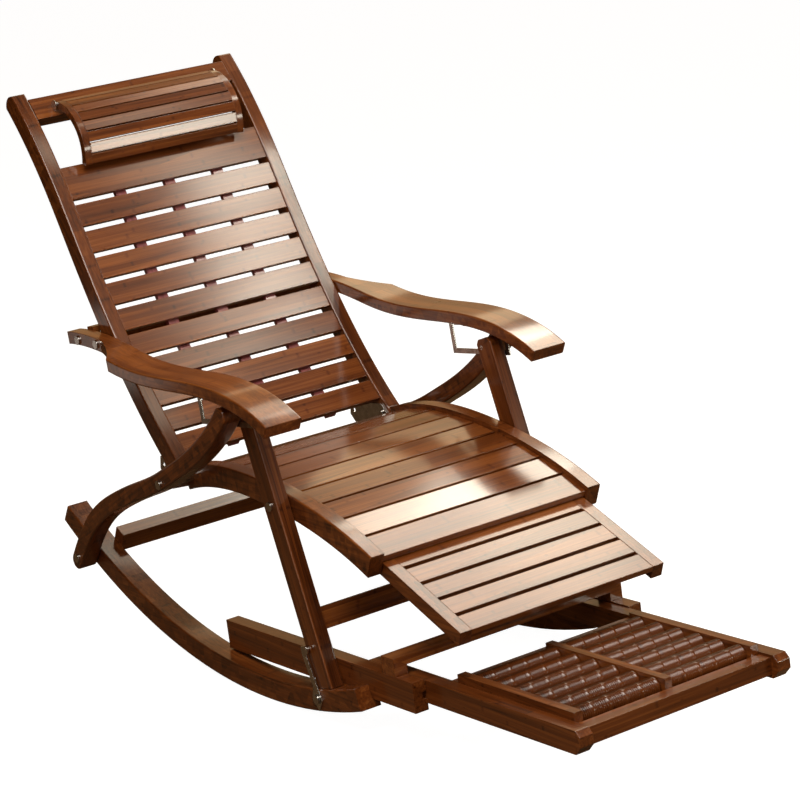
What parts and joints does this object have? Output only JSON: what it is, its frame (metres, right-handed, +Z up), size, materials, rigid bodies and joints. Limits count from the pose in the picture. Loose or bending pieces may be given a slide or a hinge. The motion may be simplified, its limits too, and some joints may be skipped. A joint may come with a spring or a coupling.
{
  "type": "bamboo folding recliner",
  "caption": "Bamboo rocking recliner with slatted seat and back, curved arms, flip-over headrest, pull-out leg rest and sliding roller foot massage frame.",
  "frame": {"origin": "middle of the part's outline in plan, at floor height under the rockers", "axes": "+X across to the viewer's right, seen from in front of the chair, +Y from the leg rest to the back rest, +Z up"},
  "size_m": [0.6004, 1.4746, 0.9655],
  "materials": {
    "bamboo": "dark red-brown laminated bamboo under clear gloss varnish",
    "dark_bamboo": "reddish laminated bamboo battens",
    "steel": "bright plated steel hardware"
  },
  "bodies": {
    "base": {"rocker_left": "bamboo", "rocker_right": "bamboo", "guide_board_left": "bamboo", "guide_board_right": "bamboo", "rear_stretcher": "bamboo", "front_stretcher": "bamboo", "rocker_bolts": "steel", "hook_studs": "steel"},
    "legs": {"leg_left": "bamboo", "leg_right": "bamboo", "leg_stretcher": "bamboo", "adjuster_pins": "steel", "hook_screws": "steel"},
    "braces": {"brace_left": "bamboo", "brace_right": "bamboo"},
    "seat": {"seat_rail_left": "bamboo", "seat_rail_right": "bamboo", "seat_slats": "bamboo", "seat_bolts": "steel", "hinge_brackets": "steel"},
    "back": {"back_rail_left": "bamboo", "back_rail_right": "bamboo", "back_slats": "bamboo", "top_rail": "bamboo", "back_battens": "dark_bamboo", "back_bolts": "steel", "headrest_hinges": "steel"},
    "headrest": {"headrest_ends": "bamboo", "headrest_slats": "bamboo"},
    "arms": {"arm_left": "bamboo", "arm_right": "bamboo", "arm_crossbar": "bamboo", "tail_bolts": "steel", "adjuster_racks": "steel"},
    "bail_left": {"bail_left": "steel"},
    "bail_right": {"bail_right": "steel"},
    "hook_left": {"hook_left": "steel"},
    "hook_right": {"hook_right": "steel"},
    "leg_rest": {"leg_rest_rails": "bamboo", "leg_rest_slats": "bamboo", "leg_rest_runner": "bamboo"},
    "massage_frame": {"massage_rail_left": "bamboo", "massage_rail_right": "bamboo", "massage_front_bar": "bamboo", "massage_rear_bar": "bamboo", "roller_bars": "bamboo", "roller_divider": "bamboo", "roller_axles": "steel"},
    "roller_left_1": {"roller_left_1": "bamboo"},
    "roller_left_2": {"roller_left_2": "bamboo"},
    "roller_left_3": {"roller_left_3": "bamboo"},
    "roller_left_4": {"roller_left_4": "bamboo"},
    "roller_left_5": {"roller_left_5": "bamboo"},
    "roller_left_6": {"roller_left_6": "bamboo"},
    "roller_right_1": {"roller_right_1": "bamboo"},
    "roller_right_2": {"roller_right_2": "bamboo"},
    "roller_right_3": {"roller_right_3": "bamboo"},
    "roller_right_4": {"roller_right_4": "bamboo"},
    "roller_right_5": {"roller_right_5": "bamboo"},
    "roller_right_6": {"roller_right_6": "bamboo"}
  },
  "joints": [
    {"name": "fold", "type": "hinge", "parent": "base", "child": "braces", "pos_m": [0, 0.58612, 0.14677], "axis": [1, 0, 0], "range_deg": [0, 12]},
    {"name": "seat_fold", "type": "hinge", "parent": "braces", "child": "seat", "pos_m": [0, 0.24592, 0.34461], "axis": [1, 0, 0], "range_deg": [-26.41, 0]},
    {"name": "leg_fold", "type": "hinge", "parent": "seat", "child": "legs", "pos_m": [0, -0.04131, 0.34941], "axis": [1, 0, 0], "range_deg": [-28.81, 0]},
    {"name": "recline", "type": "hinge", "parent": "seat", "child": "back", "pos_m": [0, 0.29705, 0.34294], "axis": [1, 0, 0], "range_deg": [0, 25]},
    {"name": "arm_swing", "type": "hinge", "parent": "back", "child": "arms", "pos_m": [0, 0.46814, 0.5513], "axis": [1, 0, 0], "range_deg": [-16.26, 0]},
    {"name": "headrest_flip", "type": "hinge", "parent": "back", "child": "headrest", "pos_m": [0, 0.67554, 0.94125], "axis": [1, 0, 0], "range_deg": [-140, 0]},
    {"name": "leg_rest_slide", "type": "slide", "parent": "seat", "child": "leg_rest", "axis": [0, 0.9683, 0.2498], "range_m": [0, 0.194]},
    {"name": "massage_slide", "type": "slide", "parent": "base", "child": "massage_frame", "axis": [0, 0.9995, -0.0311], "range_m": [0, 0.32]},
    {"name": "bail_swing_left", "type": "hinge", "parent": "arms", "child": "bail_left", "pos_m": [0, 0.13641, 0.51785], "axis": [1, 0, 0], "range_deg": [0, 45.01]},
    {"name": "hook_turn_left", "type": "hinge", "parent": "base", "child": "hook_left", "pos_m": [0, -0.1201, 0.03922], "axis": [1, 0, 0], "range_deg": [-70, 0]},
    {"name": "bail_swing_right", "type": "hinge", "parent": "arms", "child": "bail_right", "pos_m": [0, 0.13641, 0.51785], "axis": [1, 0, 0], "range_deg": [0, 45.01]},
    {"name": "hook_turn_right", "type": "hinge", "parent": "base", "child": "hook_right", "pos_m": [0, -0.1201, 0.03922], "axis": [1, 0, 0], "range_deg": [-70, 0]},
    {"name": "roller_left_1_spin", "type": "hinge", "parent": "massage_frame", "child": "roller_left_1", "pos_m": [0, -0.67142, 0.11789], "axis": [1, 0, 0], "continuous": true},
    {"name": "roller_left_2_spin", "type": "hinge", "parent": "massage_frame", "child": "roller_left_2", "pos_m": [0, -0.62355, 0.1164], "axis": [1, 0, 0], "continuous": true},
    {"name": "roller_left_3_spin", "type": "hinge", "parent": "massage_frame", "child": "roller_left_3", "pos_m": [0, -0.57567, 0.11491], "axis": [1, 0, 0], "continuous": true},
    {"name": "roller_left_4_spin", "type": "hinge", "parent": "massage_frame", "child": "roller_left_4", "pos_m": [0, -0.52779, 0.11342], "axis": [1, 0, 0], "continuous": true},
    {"name": "roller_left_5_spin", "type": "hinge", "parent": "massage_frame", "child": "roller_left_5", "pos_m": [0, -0.47992, 0.11194], "axis": [1, 0, 0], "continuous": true},
    {"name": "roller_left_6_spin", "type": "hinge", "parent": "massage_frame", "child": "roller_left_6", "pos_m": [0, -0.43204, 0.11045], "axis": [1, 0, 0], "continuous": true},
    {"name": "roller_right_1_spin", "type": "hinge", "parent": "massage_frame", "child": "roller_right_1", "pos_m": [0, -0.67142, 0.11789], "axis": [1, 0, 0], "continuous": true},
    {"name": "roller_right_2_spin", "type": "hinge", "parent": "massage_frame", "child": "roller_right_2", "pos_m": [0, -0.62355, 0.1164], "axis": [1, 0, 0], "continuous": true},
    {"name": "roller_right_3_spin", "type": "hinge", "parent": "massage_frame", "child": "roller_right_3", "pos_m": [0, -0.57567, 0.11491], "axis": [1, 0, 0], "continuous": true},
    {"name": "roller_right_4_spin", "type": "hinge", "parent": "massage_frame", "child": "roller_right_4", "pos_m": [0, -0.52779, 0.11342], "axis": [1, 0, 0], "continuous": true},
    {"name": "roller_right_5_spin", "type": "hinge", "parent": "massage_frame", "child": "roller_right_5", "pos_m": [0, -0.47992, 0.11194], "axis": [1, 0, 0], "continuous": true},
    {"name": "roller_right_6_spin", "type": "hinge", "parent": "massage_frame", "child": "roller_right_6", "pos_m": [0, -0.43204, 0.11045], "axis": [1, 0, 0], "continuous": true}
  ],
  "couplings": [
    {"joint": "seat_fold", "follows": "fold", "ratio": -2.2},
    {"joint": "leg_fold", "follows": "fold", "ratio": -2.4},
    {"joint": "arm_swing", "follows": "recline", "ratio": -0.65},
    {"joint": "bail_swing_left", "follows": "fold", "ratio": 3.75},
    {"joint": "bail_swing_right", "follows": "fold", "ratio": 3.75}
  ]
}
